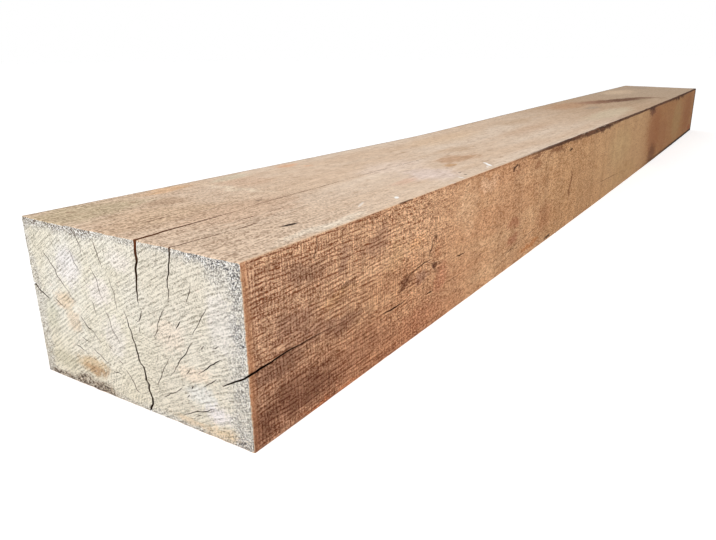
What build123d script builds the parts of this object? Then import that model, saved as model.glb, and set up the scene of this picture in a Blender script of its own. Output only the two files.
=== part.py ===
from build123d import *
import os
from math import cos, hypot, radians, sin

# Oak beam: one sawn length of timber with the heart of the log boxed inside it
# X runs along the beam, Z is up, and the long side with the wane faces -Y
# The origin lies at floor level under the middle of the beam

# Sawn size in millimetres
length = 2500.0
width = 260.0
height = 150.0
far_end_gain = 6.0  # the saw ran out, so the far end is this much taller
crook = 6.0  # sideways bow of both long sides towards -Y
top_dip = 2.5  # hollow along the -Y top edge, below a straight line from end to end
# The top winds: how far its +Y edge stands above its -Y edge, by share of the length
wind = [
    (0.0, 0.8),
    (0.1, -0.7),
    (0.2, -2.3),
    (0.29, -3.6),
    (0.36, -1.9),
    (0.47, 0.9),
    (0.62, 3.5),
    (0.8, 5.6),
    (1.0, 7.0),
]
arris_wear = 1.2  # width of the flat rubbed along each long edge, on either face
cut_margin = 2.0  # how far each cutting solid starts outside the timber

# Heart of the log on the near end: across towards -Y from its middle, and up from the floor
pith_across = 16.0
pith_up = 3.8
pith_wander = 22.0  # how far the heart has climbed by the far end

# Surface of the log under its bark, which the -Y top edge runs out to
log_off_middle = 20.0
log_up = 60.0
log_cover = 2.0  # how far the cut for a wane starts outside the widest corner
# Each wane: distance of its middle from the near end, half its length, and its bite at the corner
wanes = [
    (930.0, 250.0, 3.2),
    (1900.0, 480.0, 2.0),
]

# Splits that break out of an edge: angle about the pith, radius of the inner tip, gap at the
# edge, and run along the beam. Zero degrees points to the right as seen from outside the end
near_splits = [
    (88.5, 93.0, 2.6, 760.0),
    (72.0, 108.0, 1.6, 150.0),
    (28.0, 96.0, 3.2, 150.0),
    (149.5, 122.0, 1.6, 60.0),
    (274.0, -46.0, 2.4, 480.0),
]
far_splits = [
    (93.0, 40.0, 2.2, 420.0),
    (24.0, 88.0, 1.8, 120.0),
    (160.0, 104.0, 1.6, 90.0),
]

# Checks inside an end: angle, inner radius, outer radius, gap at the middle, and sideways bend
near_checks = [
    (99.0, 38.0, 92.0, 1.8, 1.5),
    (92.0, 74.0, 90.0, 1.1, -1.0),
    (75.0, 68.0, 101.0, 1.4, 1.2),
    (54.0, 96.0, 136.0, 1.5, 0.0),
    (52.0, 50.0, 94.0, 1.7, -0.8),
    (62.0, 33.0, 68.0, 1.3, 0.6),
    (63.0, 118.0, 137.0, 1.0, 0.0),
    (38.0, 75.0, 113.0, 1.4, 0.0),
    (36.0, 24.0, 54.0, 1.2, 0.8),
    (31.5, 72.0, 95.0, 1.4, 0.0),
    (12.5, 36.0, 83.0, 1.2, -1.4),
    (119.5, 62.0, 128.0, 1.3, 1.8),
    (108.5, 86.0, 148.0, 1.1, 1.5),
    (136.5, 116.0, 172.0, 1.1, 1.2),
    (140.5, 60.0, 106.0, 1.1, -1.0),
    (151.5, 52.0, 96.0, 1.1, 0.9),
    (137.0, 12.0, 50.0, 1.1, 1.0),
]
far_checks = [
    (60.0, 34.0, 104.0, 1.6, 1.2),
    (38.0, 52.0, 96.0, 1.3, -0.8),
    (120.0, 44.0, 112.0, 1.6, 1.0),
    (142.0, 50.0, 104.0, 1.3, -1.0),
    (78.0, 66.0, 112.0, 1.2, 0.6),
    (8.0, 30.0, 74.0, 1.2, 0.8),
    (200.0, 8.0, 22.0, 1.1, 0.0),
]
check_depth_share = 0.7  # a check goes this share of its own length into the timber

# Places that follow from the sizes above
near_x = -length / 2
far_x = length / 2
half_width = width / 2
end_shift = crook / 2
near_pith = (pith_across, pith_up)
far_pith = (-pith_across, pith_up + pith_wander)
tallest = height + far_end_gain + max(lift for at, lift in wind)
near_end = Plane(origin=(near_x, end_shift, 0), x_dir=(0, -1, 0), z_dir=(-1, 0, 0))
far_end = Plane(origin=(far_x, end_shift, 0), x_dir=(0, 1, 0), z_dir=(1, 0, 0))


def hump(share):
    """Height of a parabola that is zero at both ends of the beam and one half way along."""
    return 4 * share * (1 - share)


def top_height(share, lift, across):
    """Height of the top at a share of the length, with its wind there, away from the middle."""
    low_edge = height + far_end_gain * share - top_dip * hump(share)
    return low_edge + lift * (across + half_width) / width


def corner_reach(from_near):
    """Distance from the log's axis to the -Y top corner of the section at that station."""
    share = from_near / length
    side_y = end_shift - half_width - crook * hump(share)
    top_z = height + far_end_gain * share - top_dip * hump(share)
    return hypot(side_y - log_off_middle, top_z - log_up)


def edge_distance(angle, pith, end_height):
    """Distance from the pith to the edge of an end in the direction of the angle."""
    across, up = cos(radians(angle)), sin(radians(angle))
    side = half_width - pith[0] if across > 0 else half_width + pith[0]
    level = end_height - pith[1] if up > 0 else pith[1]
    return min(side / max(abs(across), 1e-6), level / max(abs(up), 1e-6))


def polar(pith, angle, radius, sideways=0.0):
    """Point of an end face at a radius from the pith, moved sideways across that radius."""
    across, up = cos(radians(angle)), sin(radians(angle))
    return (pith[0] + radius * across - sideways * up, pith[1] + radius * up + sideways * across)


log_plane = Plane(origin=(0, log_off_middle, log_up), x_dir=(1, 0, 0), z_dir=(0, -1, 0))
log_axis = Axis((0, log_off_middle, log_up), (1, 0, 0))
full_radius = max(corner_reach(0), corner_reach(length / 2), corner_reach(length)) + log_cover


def cut_to_point(end, outline, tip, depth):
    """Cut a pyramid from its outline, just outside the end, to a tip at a depth in the timber."""
    with BuildSketch(end.offset(cut_margin), mode=Mode.PRIVATE) as mouth:
        Polygon(*outline, align=None)
    loft([mouth.sketch, Vertex(*end.from_local_coords((*tip, -depth)))], ruled=True, mode=Mode.SUBTRACT)


def split(end, pith, end_height, angle, inner, gap, run):
    """Cut a split that opens towards the edge and runs out along the long face beyond it."""
    outer = edge_distance(angle, pith, end_height) + cut_margin
    outline = [
        polar(pith, angle, inner),
        polar(pith, angle, outer, -gap / 2),
        polar(pith, angle, outer, gap / 2),
    ]
    cut_to_point(end, outline, polar(pith, angle, outer), run)


def check(end, pith, angle, inner, outer, gap, bend):
    """Cut a check that is widest half way along and closes at both tips."""
    middle = (inner + outer) / 2
    outline = [
        polar(pith, angle, inner),
        polar(pith, angle, middle, bend - gap / 2),
        polar(pith, angle, outer),
        polar(pith, angle, middle, bend + gap / 2),
    ]
    depth = (outer - inner) * check_depth_share
    cut_to_point(end, outline, polar(pith, angle, middle, bend), depth)


with BuildPart() as oak_beam:
    # Plan of the beam: both long sides bow towards -Y
    with BuildSketch():
        with BuildLine():
            for side in (half_width, -half_width):
                ends_y = side + end_shift
                ThreePointArc((near_x, ends_y), (0, side - end_shift), (far_x, ends_y))
            for end_x in (near_x, far_x):
                Line((end_x, half_width + end_shift), (end_x, -half_width + end_shift))
        make_face()
    extrude(amount=tallest)

    # Side views at both sides: flat underneath, with the hollow, the rise and the wind of the top
    with BuildPart(mode=Mode.INTERSECT):
        for side in (-width, width):
            with BuildSketch(Plane.XZ.offset(-side)):
                with BuildLine():
                    points = [(near_x + length * at, top_height(at, lift, side)) for at, lift in wind]
                    Spline(*points)
                    Polyline(points[-1], (far_x, 0), (near_x, 0), points[0])
                make_face()
        loft(ruled=True)

    # Long edges rubbed off, then the wane where the log was too small for the corner
    chamfer(oak_beam.edges().filter_by(lambda edge: edge.length > length / 2), length=arris_wear)
    for middle, half, bite in wanes:
        with BuildSketch(log_plane):
            with BuildLine():
                pinch_radius = corner_reach(middle) - bite
                # The arc keeps its bite and its half length where it meets the corner
                reach = half * ((full_radius - pinch_radius) / bite) ** 0.5
                entry = (near_x + middle - reach, full_radius)
                leave = (near_x + middle + reach, full_radius)
                ThreePointArc(entry, (near_x + middle, pinch_radius), leave)
                Line(leave, entry)
            make_face()
        revolve(axis=log_axis, mode=Mode.SUBTRACT)

    # Drying fan of each end
    for sizes in near_splits:
        split(near_end, near_pith, height, *sizes)
    for sizes in near_checks:
        check(near_end, near_pith, *sizes)
    for sizes in far_splits:
        split(far_end, far_pith, tallest, *sizes)
    for sizes in far_checks:
        check(far_end, far_pith, *sizes)

oak_beam.part.label = "oak_beam"
os.makedirs("parts", exist_ok=True)
export_step(oak_beam.part, "parts/oak_beam.step")
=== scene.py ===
"""Oak beam: the looks of one sawn length of timber, with the heart of the log boxed inside it.

Lengths are in millimetres up to the point where a mesh is made, and Blender's metres after it.
Along is measured from the near end, across from the middle of the end face towards +Y, and up
from the floor.
"""
from math import cos, hypot, pi, radians, sin

import bmesh
import bpy
import numpy as np
from mathutils import Matrix, Vector
from mathutils.geometry import delaunay_2d_cdt


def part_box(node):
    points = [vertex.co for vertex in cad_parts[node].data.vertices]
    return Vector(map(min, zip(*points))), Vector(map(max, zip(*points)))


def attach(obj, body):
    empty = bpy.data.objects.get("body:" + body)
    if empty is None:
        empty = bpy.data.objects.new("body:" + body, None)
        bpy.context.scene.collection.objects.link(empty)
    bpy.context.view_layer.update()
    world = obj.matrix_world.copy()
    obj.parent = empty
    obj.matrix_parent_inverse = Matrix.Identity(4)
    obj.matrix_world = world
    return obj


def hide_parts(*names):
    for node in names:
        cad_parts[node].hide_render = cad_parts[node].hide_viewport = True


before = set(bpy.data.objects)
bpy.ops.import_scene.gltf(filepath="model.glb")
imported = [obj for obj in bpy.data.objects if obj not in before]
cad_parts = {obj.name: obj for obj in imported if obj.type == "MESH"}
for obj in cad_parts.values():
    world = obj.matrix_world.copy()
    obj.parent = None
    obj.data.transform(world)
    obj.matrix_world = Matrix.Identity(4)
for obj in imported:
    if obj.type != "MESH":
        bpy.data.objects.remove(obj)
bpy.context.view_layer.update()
low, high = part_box("oak_beam")

MM = 0.001

# Sawn size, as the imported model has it, and how its long faces run
LENGTH = (high.x - low.x) / MM
WIDTH = 260.0
HEIGHT = 150.0
FAR_GAIN = 6.0
CROOK = 6.0
TOP_DIP = 2.5
END_SHIFT = CROOK / 2

# How far the +Y edge of the top stands above its -Y edge, by share of the length
WIND = [(0.0, 0.8), (0.1, -0.7), (0.2, -2.3), (0.29, -3.6), (0.36, -1.9), (0.47, 0.9), (0.62, 3.5),
        (0.8, 5.6), (1.0, 7.0)]

# Heart of the log at both ends, across and up
PITH_NEAR = (-16.0, 3.8)
PITH_FAR = (-16.0, 25.8)

# Surface of the log under its bark, and each wane: middle, half length, bite at the corner
LOG_MIDDLE = (20.0, 60.0)
WANES = [(930.0, 250.0, 3.2), (1900.0, 480.0, 2.0)]


# Noise

TABLE = 256


def noise(u, v, seed):
    """Smooth values from -1 to 1 over a plane, with features about one unit across."""
    table = np.random.default_rng(seed).uniform(-1, 1, (TABLE, TABLE))
    u, v = np.broadcast_arrays(np.asarray(u, float), np.asarray(v, float))
    cell_u, cell_v = np.floor(u).astype(int), np.floor(v).astype(int)
    part_u, part_v = u - cell_u, v - cell_v
    part_u = part_u * part_u * (3 - 2 * part_u)
    part_v = part_v * part_v * (3 - 2 * part_v)

    def corner(right, up):
        return table[(cell_u + right) % TABLE, (cell_v + up) % TABLE]

    lower = corner(0, 0) * (1 - part_u) + corner(1, 0) * part_u
    upper = corner(0, 1) * (1 - part_u) + corner(1, 1) * part_u
    return lower * (1 - part_v) + upper * part_v


def rough(u, v, seed, octaves=3):
    """Noise with finer and weaker layers on top."""
    layers = range(octaves)
    return sum(noise(u * 2**n, v * 2**n, seed + n) / 2**n for n in layers) / (2 - 2.0 ** (1 - octaves))


def bell(value, middle, reach):
    """One at the middle, falling smoothly to nothing at the reach."""
    away = np.clip(np.abs((value - middle) / reach), 0, 1)
    return (1 - away * away) ** 2


# The beam's own shape

def hump(along):
    share = np.clip(np.asarray(along, float) / LENGTH, 0, 1)
    return 4 * share * (1 - share)


def middle_y(along):
    return END_SHIFT - CROOK * hump(along)


def wind_curve():
    """The wind at even steps of the length, on a smooth curve through the places that are given."""
    at, lift = np.array(WIND).T
    gaps, rises = np.diff(at), np.diff(lift)
    slopes = np.concatenate([[rises[0] / gaps[0]], (rises[1:] + rises[:-1]) / (gaps[1:] + gaps[:-1]),
                             [rises[-1] / gaps[-1]]])
    share = np.linspace(0, 1, 501)
    piece = np.clip(np.searchsorted(at, share, side="right") - 1, 0, len(gaps) - 1)
    part, gap = (share - at[piece]) / gaps[piece], gaps[piece]
    start, stop = lift[piece], lift[piece + 1]
    bend = slopes[piece] * gap, slopes[piece + 1] * gap
    return share, (start * (1 + 2 * part) * (1 - part) ** 2 + bend[0] * part * (1 - part) ** 2
                   + stop * part**2 * (3 - 2 * part) + bend[1] * part**2 * (part - 1))


WIND_CURVE = wind_curve()


def top_z(along, across=-WIDTH / 2):
    """Height of the top, by its low -Y edge unless another place across is given."""
    share = np.asarray(along, float) / LENGTH
    lift = np.interp(share, *WIND_CURVE)
    return HEIGHT + FAR_GAIN * share - TOP_DIP * hump(along) + lift * (across + WIDTH / 2) / WIDTH


def corner_radius(along):
    """Distance from the log's axis to the -Y top corner at one station."""
    return hypot(middle_y(along) - WIDTH / 2 - LOG_MIDDLE[0], top_z(along) - LOG_MIDDLE[1])


def log_radius(along):
    """Radius that the log's surface leaves for the -Y top corner."""
    limits = [corner_radius(centre) - bite + bite * ((along - centre) / half) ** 2
              for centre, half, bite in WANES]
    return np.minimum(*limits)


# Places round the section and stations along the beam, close together where they show

ARRIS = [0.0, 0.4, 1.0, 1.9, 3.2]
NEAR_ROWS = [0.0, 0.5, 1.2, 2.2, 3.6]
FAR_ROWS = [LENGTH - 3, LENGTH - 1.2, LENGTH - 0.4, LENGTH]
RUNS = [(3.6, 320, 3.0), (320, 700, 5.0), (700, 1200, 8.0), (1200, LENGTH - 6, 18.0)]  # start, stop, step

TOP, SIDE, BOTTOM, BACK = range(4)
FACE_STEPS = [(TOP, WIDTH, 4.0), (SIDE, HEIGHT, 3.4), (BOTTOM, WIDTH, 9.0), (BACK, HEIGHT, 8.0)]
OUTWARD = {TOP: (0, 1), SIDE: (-1, 0), BOTTOM: (0, -1), BACK: (1, 0)}


def spaced(length, step):
    """Places along one side of the section, closer at both arrises, without the last corner."""
    count = max(2, round((length - 2 * ARRIS[-1]) / step))
    middle = np.linspace(ARRIS[-1], length - ARRIS[-1], count + 1)
    return np.concatenate([ARRIS[:-1], middle, length - np.array(ARRIS[-2:0:-1])])


def stations():
    runs = [np.linspace(start, stop, round((stop - start) / step) + 1)[1:] for start, stop, step in RUNS]
    return np.concatenate([NEAR_ROWS, *runs, FAR_ROWS])


def ring():
    """Section places as (face, share along that face), from the +Y top corner clockwise."""
    return [(face, value / size) for face, size, step in FACE_STEPS for value in spaced(size, step)]


def section_point(face, share, along):
    """Across and up of a place on the sharp-edged section at every station."""
    half = WIDTH / 2
    if face == TOP:
        across = half - share * WIDTH
        return across, top_z(along, across)
    if face == SIDE:
        return -half, top_z(along) * (1 - share)
    if face == BOTTOM:
        return -half + share * WIDTH, 0.0
    return half, top_z(along, half) * share


UPPER_WEAR, LOWER_WEAR, WEAR_CHANGE, CHIP = 0.9, 0.6, 0.5, 2.6
END_WEAR, END_CHIP = 0.5, 0.8


def arris_radius(along, corner):
    """How far each long edge is rubbed off, with small chips along it."""
    worn = np.where(corner > 1, UPPER_WEAR, LOWER_WEAR) + WEAR_CHANGE * rough(along / 35, corner * 7.3, 11)
    return worn + CHIP * np.clip(rough(along / 7, corner * 3.1, 17) - 0.45, 0, 1)


def end_radius(across, up):
    """How far the arris round an end face is broken away."""
    return END_WEAR + END_CHIP * np.clip(rough(across / 5, up / 5, 23) + 0.1, 0, 1)


def round_corners(across, up, along, top):
    """Pull every point that lies within an arris onto its round."""
    half = WIDTH / 2
    in_y, in_z = half - np.abs(across), np.minimum(up, top - up)
    corner = np.where(across > 0, 0, 1) + np.where(up > top / 2, 0, 2)
    radius = arris_radius(along, corner)
    from_y, from_z = radius - in_y, radius - in_z
    inside = (from_y > 0) & (from_z > 0)
    size = np.maximum(np.hypot(from_y, from_z), 1e-6)
    new_y = np.where(inside, radius - from_y * radius / size, in_y)
    new_z = np.where(inside, radius - from_z * radius / size, in_z)
    across = np.sign(across) * (half - new_y)
    return across, np.where(up > top / 2, top - new_z, new_z)


SAW_WAVE, SAW_PITCH = 0.10, 27.0
FIBRE, UNEVEN = 0.16, 0.30
KNOT, TORN = ((262, 72), (46, 40)), ((240, 76), (34, 18))  # place and reach, along and up
KNOT_RISE, TORN_DEPTH, TORN_CHANGE = 0.9, 0.9, 0.8
END_SAW, END_PITCH, END_UNEVEN = 0.16, 11.0, 0.25
END_SLOPE = radians(30)
BARK_RISE = 1.8


def patch(along, up, place, reach):
    """One at a place on a long side, falling smoothly to nothing round an oval."""
    return bell(np.hypot((along - place[0]) / reach[0], (up - place[1]) / reach[1]), 0, 1)


def face_relief(along, across, up, face):
    """Height of the sawn surface above the true face: saw waves, torn fibre and the knot."""
    wide = across if face in (TOP, BOTTOM) else up
    saw = SAW_WAVE * np.sin(2 * pi * (along + 4 * noise(wide / 60, along / 90, 31)) / SAW_PITCH)
    fibre = FIBRE * rough(along / 70, wide / 6, 37 + face)
    height = saw + fibre + UNEVEN * noise(along / 210, wide / 45, 41 + face)
    if face == SIDE:
        ragged = TORN_DEPTH + TORN_CHANGE * rough(along / 5, up / 4, 53)
        height = height + KNOT_RISE * patch(along, up, *KNOT) - patch(along, up, *TORN) * ragged
    # The underside stays on the floor
    return -np.abs(height) if face == BOTTOM else height


def end_relief(across, up, near):
    """Height of an end face above its plane: saw steps, and bark on the near end's low edge."""
    travel = across * sin(END_SLOPE) + up * cos(END_SLOPE)
    saw = END_SAW * np.sin(2 * pi * travel / END_PITCH + 2 * noise(across / 40, up / 40, 61))
    height = saw + END_UNEVEN * rough(across / 22, up / 22, 67)
    if near:
        bark = bell(across, 64, 34) * bell(up, 4, 14)
        height = height + bark * BARK_RISE * np.clip(rough(across / 4, up / 3, 71) + 0.15, 0, 1)
    return height


RELIEF_FADE = 6.0  # how far from an arris or an end the relief comes up to its full height
RAGGED_WANE = 0.9


def build_skin():
    """Rings of points at every station, as arrays of along, across and up."""
    rows, places = stations(), ring()
    shape = (len(rows), len(places))
    along = np.repeat(rows[:, None], shape[1], axis=1)
    flat_across, flat_up = np.zeros(shape), np.zeros(shape)
    for column, (face, share) in enumerate(places):
        flat_across[:, column], flat_up[:, column] = section_point(face, share, rows)
    top = top_z(along, flat_across)
    across, up = round_corners(flat_across, flat_up, along, top)

    # The relief dies out at an arris, where two faces have to meet
    inner = np.maximum(WIDTH / 2 - np.abs(flat_across), np.minimum(flat_up, top - flat_up))
    fade = np.clip(inner / RELIEF_FADE, 0, 1)
    faces = np.array([face for face, share in places])
    for face, (out_y, out_z) in OUTWARD.items():
        chosen = faces == face
        height = face_relief(along, flat_across, flat_up, face) * fade
        across[:, chosen] += (height * out_y)[:, chosen]
        up[:, chosen] += (height * out_z)[:, chosen]

    # Wane: nothing may stand outside the log
    from_y = across + middle_y(along) - LOG_MIDDLE[0]
    from_z = up - LOG_MIDDLE[1]
    radius = np.hypot(from_y, from_z)
    limit = log_radius(along)
    ragged = RAGGED_WANE * rough(along / 14, up / 5 + across / 5, 83)
    over = (across < 0) & (up > HEIGHT / 2) & (radius > limit)
    shrink = np.where(over, (limit + ragged * np.clip(radius - limit, 0, 1)) / radius, 1)
    across = from_y * shrink + LOG_MIDDLE[0] - middle_y(along)
    up = from_z * shrink + LOG_MIDDLE[1]

    # Broken edge round both ends
    for start, way in ((0.0, 1), (LENGTH, -1)):
        depth = (along - start) * way
        size = end_radius(across, up)
        near = np.clip(size - depth, 0, None)
        inset = size - np.sqrt(np.maximum(size**2 - near**2, 0))
        across = across * (1 - inset / (WIDTH / 2))
        up = top / 2 + (up - top / 2) * (1 - inset / (top / 2))
        settle = np.clip(1 - depth / RELIEF_FADE, 0, 1)
        along = along - way * end_relief(across, up, way == 1) * settle
    return along, across, up


def cap_points(edge, step, seed):
    """Points inside an end face, on a jittered grid that keeps clear of the edge."""
    lowest, highest = edge.min(0), edge.max(0)
    clear = step * 0.7
    grid_u = np.arange(lowest[0] + clear, highest[0] - clear, step)
    grid_v = np.arange(lowest[1] + clear, highest[1] - clear, step)
    u, v = np.meshgrid(grid_u, grid_v)
    jitter = np.random.default_rng(seed).uniform(-0.25, 0.25, (2,) + u.shape) * step
    return np.stack([(u + jitter[0]).ravel(), (v + jitter[1]).ravel()], axis=1)


def cap(edge, step, seed):
    """Points inside an end, and triangles over it that count the edge's points first."""
    inner = cap_points(edge, step, seed)
    points = [Vector(point) for point in np.concatenate([edge, inner])]
    made = delaunay_2d_cdt(points, [], [list(range(len(edge)))], 1, 1e-6)
    origin = [int(ids[0]) for ids in made[3]]
    return inner, [[origin[index] for index in face] for face in made[2]]


END, LONG_TOP, LONG_SIDE, WALL, FAR_END = range(5)
FACE_SLOT = {TOP: LONG_TOP, SIDE: LONG_SIDE, BOTTOM: LONG_TOP, BACK: LONG_SIDE}
NEAR_CAP_STEP, FAR_CAP_STEP = 2.2, 7.0


def to_frame(along, across, up):
    """Millimetres of the beam to metres of the shared frame."""
    return np.stack([low.x + along * MM, across * MM, up * MM], axis=-1)


def make_mesh(name, points, faces, slots):
    mesh = bpy.data.meshes.new(name)
    mesh.from_pydata([tuple(point) for point in points], [], faces)
    mesh.polygons.foreach_set("material_index", slots)
    mesh.validate()
    mesh.update()
    made = bpy.data.objects.new(name, mesh)
    bpy.context.scene.collection.objects.link(made)
    return made


def build_timber():
    """The whole beam as one closed mesh, before the splits are cut."""
    along, across, up = build_skin()
    rows, columns = along.shape
    points = [to_frame(along.ravel(), (across + middle_y(along)).ravel(), up.ravel())]
    faces, slots = [], []
    for column, (face, share) in enumerate(ring()):
        after = (column + 1) % columns
        for here in range(0, (rows - 1) * columns, columns):
            there = here + columns
            faces.append((here + column, here + after, there + after, there + column))
            slots.append(FACE_SLOT[face])
    count = rows * columns
    for row, step, slot, seed in ((0, NEAR_CAP_STEP, END, 5), (rows - 1, FAR_CAP_STEP, FAR_END, 6)):
        near = row == 0
        mirror = -1 if near else 1
        edge_ids = row * columns + np.arange(columns)
        edge = np.stack([mirror * across[row], up[row]], axis=1)
        if near:
            # The near end's ring runs the other way round when seen from outside
            edge_ids, edge = edge_ids[::-1], edge[::-1]
        inner, triangles = cap(edge, step, seed)
        inner_across, inner_up = mirror * inner[:, 0], inner[:, 1]
        relief = end_relief(inner_across, inner_up, near)
        inner_along = -relief if near else LENGTH + relief
        points.append(to_frame(inner_along, inner_across + END_SHIFT, inner_up))
        for triangle in triangles:
            faces.append(tuple(int(edge_ids[i]) if i < columns else count + i - columns for i in triangle))
            slots.append(slot)
        count += len(inner)
    return make_mesh("oak_timber", np.concatenate(points), faces, slots)


# Splits and drying checks

def on_face(face, first, second, depth):
    """Place at a depth under a face, from its own two directions."""
    if face == "near":
        return depth, first + END_SHIFT, second
    if face == "far":
        return LENGTH - depth, first + END_SHIFT, second
    if face == "top":
        return first, second + END_SHIFT, top_z(first, second) - depth
    if face == "side":
        return first, middle_y(first) - WIDTH / 2 + depth, second
    if face == "back":
        return first, middle_y(first) + WIDTH / 2 - depth, second
    return first, second + END_SHIFT, depth


def wavy(path, step, wobble, seed):
    """The path with points every step along it, each moved a little to one side."""
    path = np.array(path, float)
    spans = np.hypot(*np.diff(path, axis=0).T)
    reach = np.concatenate([[0], np.cumsum(spans)])
    count = max(3, round(reach[-1] / step))
    at = np.linspace(0, reach[-1], count + 1)
    points = np.stack([np.interp(at, reach, path[:, k]) for k in (0, 1)], axis=1)
    way = np.gradient(points, axis=0)
    way /= np.maximum(np.hypot(way[:, 0], way[:, 1]), 1e-9)[:, None]
    side = np.stack([-way[:, 1], way[:, 0]], axis=1)
    shake = np.random.default_rng(seed).uniform(-wobble, wobble, count + 1)
    shake[[0, -1]] = 0
    return points + side * shake[:, None], side


MOUTH = 0.8  # how far each cutting solid starts outside the timber
GAP_TIP, DEPTH_TIP = 0.45, 0.7  # powers by which a check closes at its tips
GAP_UNEVEN = 0.4


def groove(face, path, width, depth, seed, step=3.0, wobble=0.4):
    """A check inside one face, as a closed wedge that narrows to nothing at its foot and tips."""
    points, side = wavy(path, step, wobble, seed)
    count = len(points)
    share = np.linspace(0, 1, count)
    swell = np.sin(pi * share) ** GAP_TIP * (1 + GAP_UNEVEN * noise(share * count / 3, 0 * share, seed))
    half = width / 2 * swell * (1 + MOUTH / depth)
    deep = depth * np.sin(pi * share) ** DEPTH_TIP
    verts = [on_face(face, *points[0], -MOUTH)]
    for index in range(1, count - 1):
        for sign in (-1, 1):
            verts.append(on_face(face, *(points[index] + sign * half[index] * side[index]), -MOUTH))
        verts.append(on_face(face, *points[index], deep[index]))
    verts.append(on_face(face, *points[-1], -MOUTH))
    last, faces = len(verts) - 1, []
    for index in range(count - 2):
        left, right, foot = (1 + 3 * index + k for k in range(3))
        if index == 0:
            faces += [(0, left, right), (0, foot, left), (0, right, foot)]
        if index == count - 3:
            faces += [(last, right, left), (last, left, foot), (last, foot, right)]
        else:
            faces += [(left, left + 3, right + 3, right), (left, foot, foot + 3, left + 3)]
            faces += [(right, right + 3, foot + 3, foot)]
    return verts, faces


SPLIT_STEP, SPLIT_LEVEL = 3.5, 3.0
SPLIT_LEAN, SPLIT_SHAKE, SPLIT_UNEVEN = 0.25, 0.35, 0.25
SPLIT_RISE, SPLIT_NARROW = 0.6, 0.4  # powers by which its foot comes up and its walls close


def split(face, entry, run, width, fade, seed):
    """A split that opens at the near end and runs out along a long face.

    The entry is its line on the end as (depth below the face, sideways), from the face inwards, and
    the run its line on the face as (along, sideways)."""
    rng = np.random.default_rng(seed)
    entry, run = np.array(entry, float), np.array(run, float)
    deepest, length = entry[-1, 0], run[-1, 0]
    # Rows get wider apart along the run
    steps = length / SPLIT_STEP
    rows = SPLIT_STEP * (np.linspace(1, np.sqrt(1 + steps), max(5, round(steps) // 3 + 4)) ** 2 - 1)
    rows = np.concatenate([[-MOUTH], rows])
    levels = max(4, round(deepest / SPLIT_LEVEL))
    lean = rng.uniform(-1, 1, levels + 1) * SPLIT_LEAN
    shift = rng.uniform(-1, 1, len(rows)) * SPLIT_SHAKE
    verts, index_of = [], {}
    for i, along in enumerate(rows):
        share = max(along, 0) / length
        reach = deepest * (1 - share) ** SPLIT_RISE
        open_here = (1 - share) ** fade * (1 + SPLIT_UNEVEN * shift[i])
        for j in range(levels + 1):
            down = j / levels
            depth = -MOUTH + down * (reach + MOUTH)
            own = np.interp(down * deepest, entry[:, 0], entry[:, 1]) - entry[0, 1]
            line = np.interp(along, run[:, 0], run[:, 1])
            side = line + own * reach / deepest + shift[i] + lean[j]
            half = width / 2 * open_here * (1 - down) ** SPLIT_NARROW * (1 + SPLIT_UNEVEN * lean[j])
            closed = j == levels or i == len(rows) - 1
            for sign in (-1,) if closed else (-1, 1):
                index_of[i, j, sign] = len(verts)
                verts.append(on_face(face, along, side + (0 if closed else sign * half), depth))
            if closed:
                index_of[i, j, 1] = index_of[i, j, -1]
    faces = []
    last_row = len(rows) - 1
    for i in range(last_row):
        for j in range(levels):
            for sign in (-1, 1):
                corners = ((i, j), (i + 1, j), (i + 1, j + 1), (i, j + 1))
                quad = list(dict.fromkeys(index_of[corner + (sign,)] for corner in corners))
                faces.append(tuple(quad[::sign]))
    for i in range(last_row):
        quad = [index_of[i, 0, -1], index_of[i + 1, 0, -1], index_of[i + 1, 0, 1], index_of[i, 0, 1]]
        faces.append(tuple(dict.fromkeys(quad)))
    for j in range(levels):
        quad = [index_of[0, j, 1], index_of[0, j + 1, 1], index_of[0, j + 1, -1], index_of[0, j, -1]]
        faces.append(tuple(dict.fromkeys(quad)))
    return verts, faces


# Splits that break out of the near end's edges: face, entry, run, gap and how fast it closes
NEAR_SPLITS = [
    ("top",
     [(0, -22.2), (3, -22), (10, -21.2), (16.5, -21.5), (22.5, -19.2), (28.5, -19), (35, -17.7),
      (49, -16.1), (53, -16.5)],
     [(0, -22.2), (45, -20.5), (112, -20)], 3.2, 0.5),
    ("top",
     [(0, -60.4), (6, -59.9), (12.5, -58.5), (16, -57.1), (19.5, -57.7), (24, -54.9), (30, -53.8),
      (36, -54.7), (43, -52.6), (46.5, -52.2)],
     [(0, -60.4), (38, -63), (66, -64.6)], 1.6, 0.5),
    ("side",
     [(0, 65.4), (6.5, 60.8), (16, 55.4), (22.5, 51.6), (28.5, 47.8)],
     [(0, 65.4), (45, 67.5), (105, 66)], 2.0, 0.8),
    ("back",
     [(0, 88.5), (4, 88), (9.5, 83), (18.5, 79.4), (24, 76.9)],
     [(0, 88.5), (60, 92)], 2.2, 0.7),
    ("bottom",
     [(0, -14), (4.5, -15.3), (9.5, -18.5), (15, -18.8), (18.5, -17.2), (22, -15), (26.5, -17.5),
      (28.5, -13.4), (32, -14.1), (41, -13.3), (45.5, -8), (49.5, -7.6), (59.5, -5.7), (64, -3),
      (70, -3.1), (74.5, -0.2), (80, 0), (89, 4.4)],
     [(0, -14), (200, -11), (480, -14)], 2.4, 0.6),
]

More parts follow.
